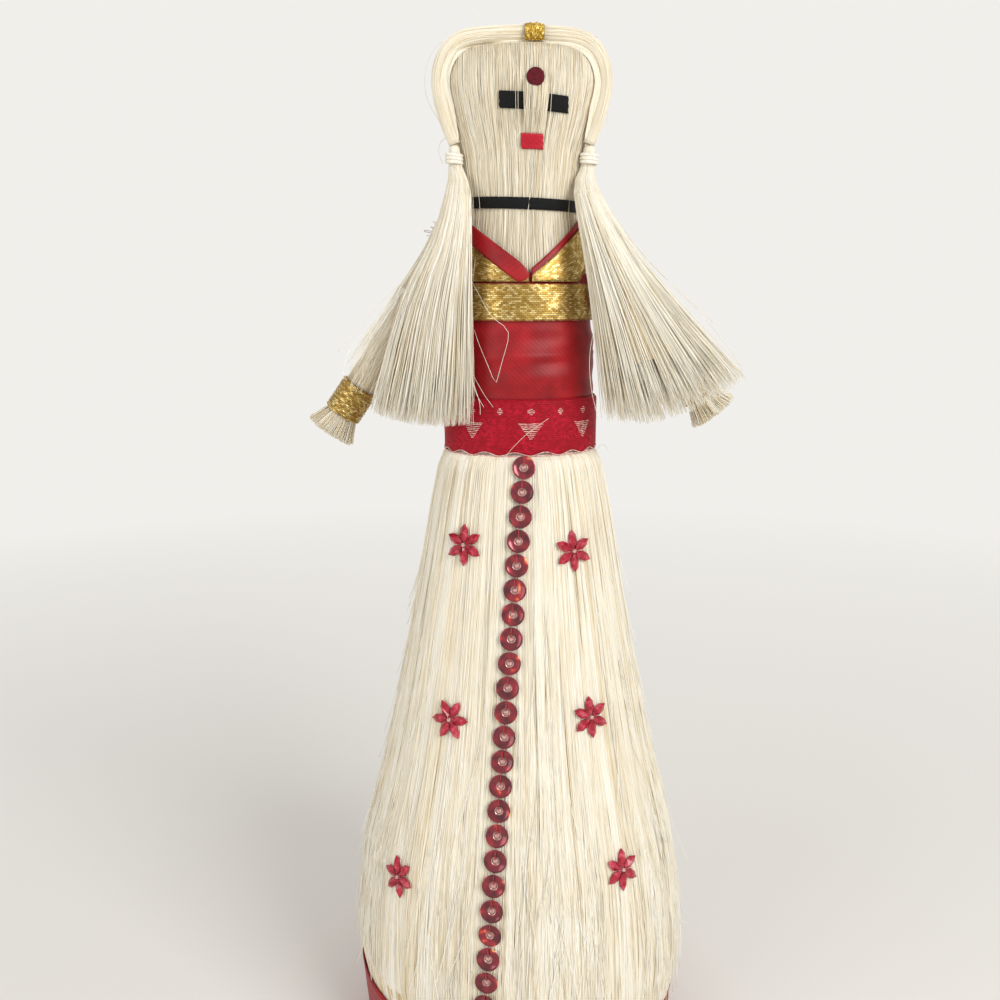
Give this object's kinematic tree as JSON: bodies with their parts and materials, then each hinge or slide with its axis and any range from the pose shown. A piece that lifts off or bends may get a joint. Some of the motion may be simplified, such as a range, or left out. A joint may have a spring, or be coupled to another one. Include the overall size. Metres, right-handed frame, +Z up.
{
  "type": "fibre doll",
  "caption": "Free-standing folk doll of combed plant fibre: fibre head and long flared skirt, satin and gold ribbon clothes, arms that lift at the shoulder and tails of hair that swing.",
  "frame": {"origin": "on the floor under the middle of the doll's box, on the skirt's axis", "axes": "+Z up, the doll faces -Y, +X to the right as seen from in front of it"},
  "size_m": [0.1143, 0.0937, 0.2813],
  "materials": {
    "fibre": "satin",
    "wad": "matte",
    "card": "matte",
    "red_satin": "satin",
    "red_woven": "matte",
    "gold_ribbon": "gloss",
    "black_ribbon": "matte",
    "maroon_felt": "matte",
    "cotton_cord": "matte",
    "sequin_film": "gloss",
    "red_acrylic": "gloss"
  },
  "bodies": {
    "doll": {"base_disc": "card", "skirt_cone": "card", "skirt_fibre": "fibre", "hem_ribbon": "red_satin", "core_wad": "wad", "face_hank": "fibre", "bodice": "red_satin", "waist_band": "red_woven", "gold_belt": "gold_ribbon", "gold_strap_left": "gold_ribbon", "gold_strap_right": "gold_ribbon", "red_strap_left": "red_satin", "red_strap_right": "red_satin", "necklace_ribbon": "black_ribbon", "eye_ribbon": "black_ribbon", "mouth_ribbon": "red_satin", "forehead_spot": "maroon_felt", "hair_band": "fibre", "hair_ornament": "gold_ribbon", "sequin_01": "sequin_film", "sequin_02": "sequin_film", "sequin_03": "sequin_film", "sequin_04": "sequin_film", "sequin_05": "sequin_film", "sequin_06": "sequin_film", "sequin_07": "sequin_film", "sequin_08": "sequin_film", "sequin_09": "sequin_film", "sequin_10": "sequin_film", "sequin_11": "sequin_film", "sequin_12": "sequin_film", "sequin_13": "sequin_film", "sequin_14": "sequin_film", "sequin_15": "sequin_film", "sequin_16": "sequin_film", "sequin_17": "sequin_film", "sequin_18": "sequin_film", "sequin_19": "sequin_film", "sequin_20": "sequin_film", "sequin_21": "sequin_film", "sequin_22": "sequin_film", "sequin_23": "sequin_film", "sequin_24": "sequin_film", "flower_1": "red_acrylic", "flower_2": "red_acrylic", "flower_3": "red_acrylic", "flower_4": "red_acrylic", "flower_5": "red_acrylic", "flower_6": "red_acrylic"},
    "left_arm": {"arm_left": "fibre", "sleeve_left": "red_satin", "cuff_left": "gold_ribbon"},
    "right_arm": {"arm_right": "fibre", "sleeve_right": "red_satin", "cuff_right": "gold_ribbon"},
    "left_tail": {"pigtail_left": "fibre", "ear_tie_left": "cotton_cord"},
    "right_tail": {"pigtail_right": "fibre", "ear_tie_right": "cotton_cord"}
  },
  "joints": [
    {"name": "left_shoulder", "type": "hinge", "parent": "doll", "child": "left_arm", "pos_m": [-0.02292, 0.0015, 0.2205], "axis": [0, 1, 0], "range_deg": [-12, 50]},
    {"name": "right_shoulder", "type": "hinge", "parent": "doll", "child": "right_arm", "pos_m": [0.02292, 0.0015, 0.2205], "axis": [0, -1, 0], "range_deg": [-12, 50]},
    {"name": "left_tail_swing", "type": "hinge", "parent": "doll", "child": "left_tail", "pos_m": [-0.01715, -0.005, 0.25159], "axis": [-1, 0, 0], "range_deg": [0, 60]},
    {"name": "right_tail_swing", "type": "hinge", "parent": "doll", "child": "right_tail", "pos_m": [0.01715, -0.005, 0.25159], "axis": [-1, 0, 0], "range_deg": [0, 60]}
  ]
}
